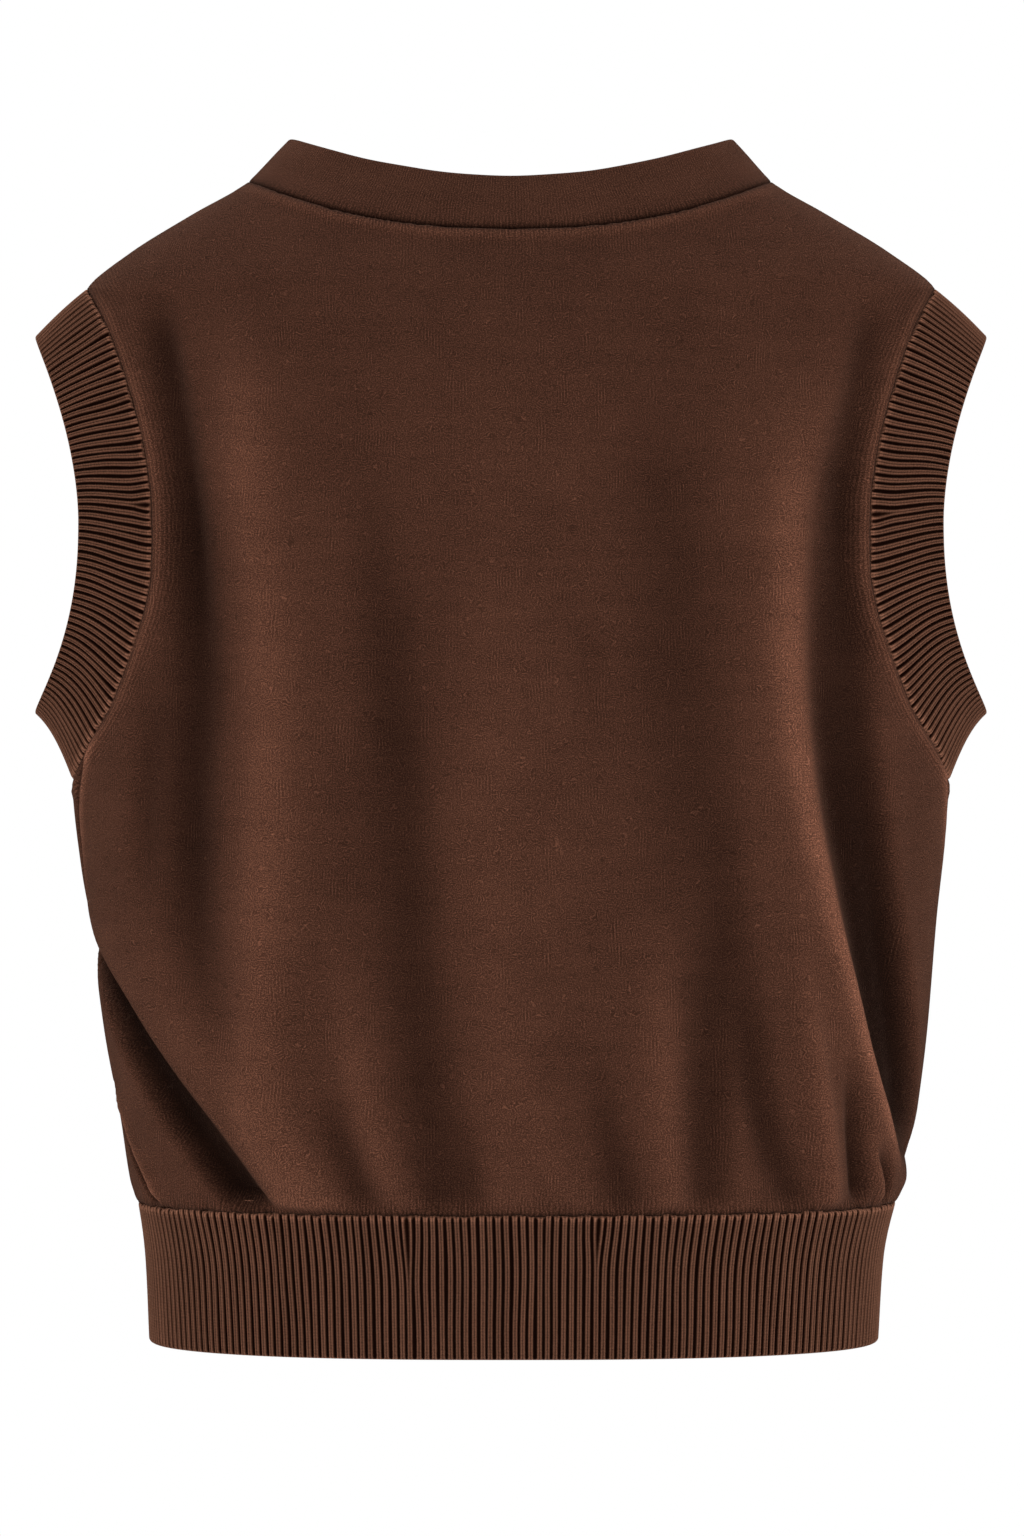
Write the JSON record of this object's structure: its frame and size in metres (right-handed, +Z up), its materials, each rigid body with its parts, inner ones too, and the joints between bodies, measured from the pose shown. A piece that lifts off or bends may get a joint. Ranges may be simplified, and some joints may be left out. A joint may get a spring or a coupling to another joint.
{
  "type": "knitted sweater vest",
  "caption": "Sleeveless pull-on knitted vest, filled out as when worn, with a low standing neckband, ribbed armbands and a deep ribbed hem band; hollow and open at neck, armholes and hem.",
  "frame": {"origin": "middle of the body at half the height of the two shoulder seams, where the wearer's shoulders hold the garment up", "axes": "+Z up; the garment's front faces -Y and its back +Y; +X is the wearer's left"},
  "size_m": [0.4674, 0.2495, 0.5875],
  "materials": {
    "brushed_jersey": "matt, finely brushed dark brown plain knit",
    "rib_knit": "matt dark brown coarse rib knit"
  },
  "bodies": {
    "root": {"back": "brushed_jersey", "front": "brushed_jersey", "neckband": "brushed_jersey", "armband_left": "rib_knit", "armband_right": "rib_knit", "hem_band": "rib_knit"}
  },
  "joints": []
}
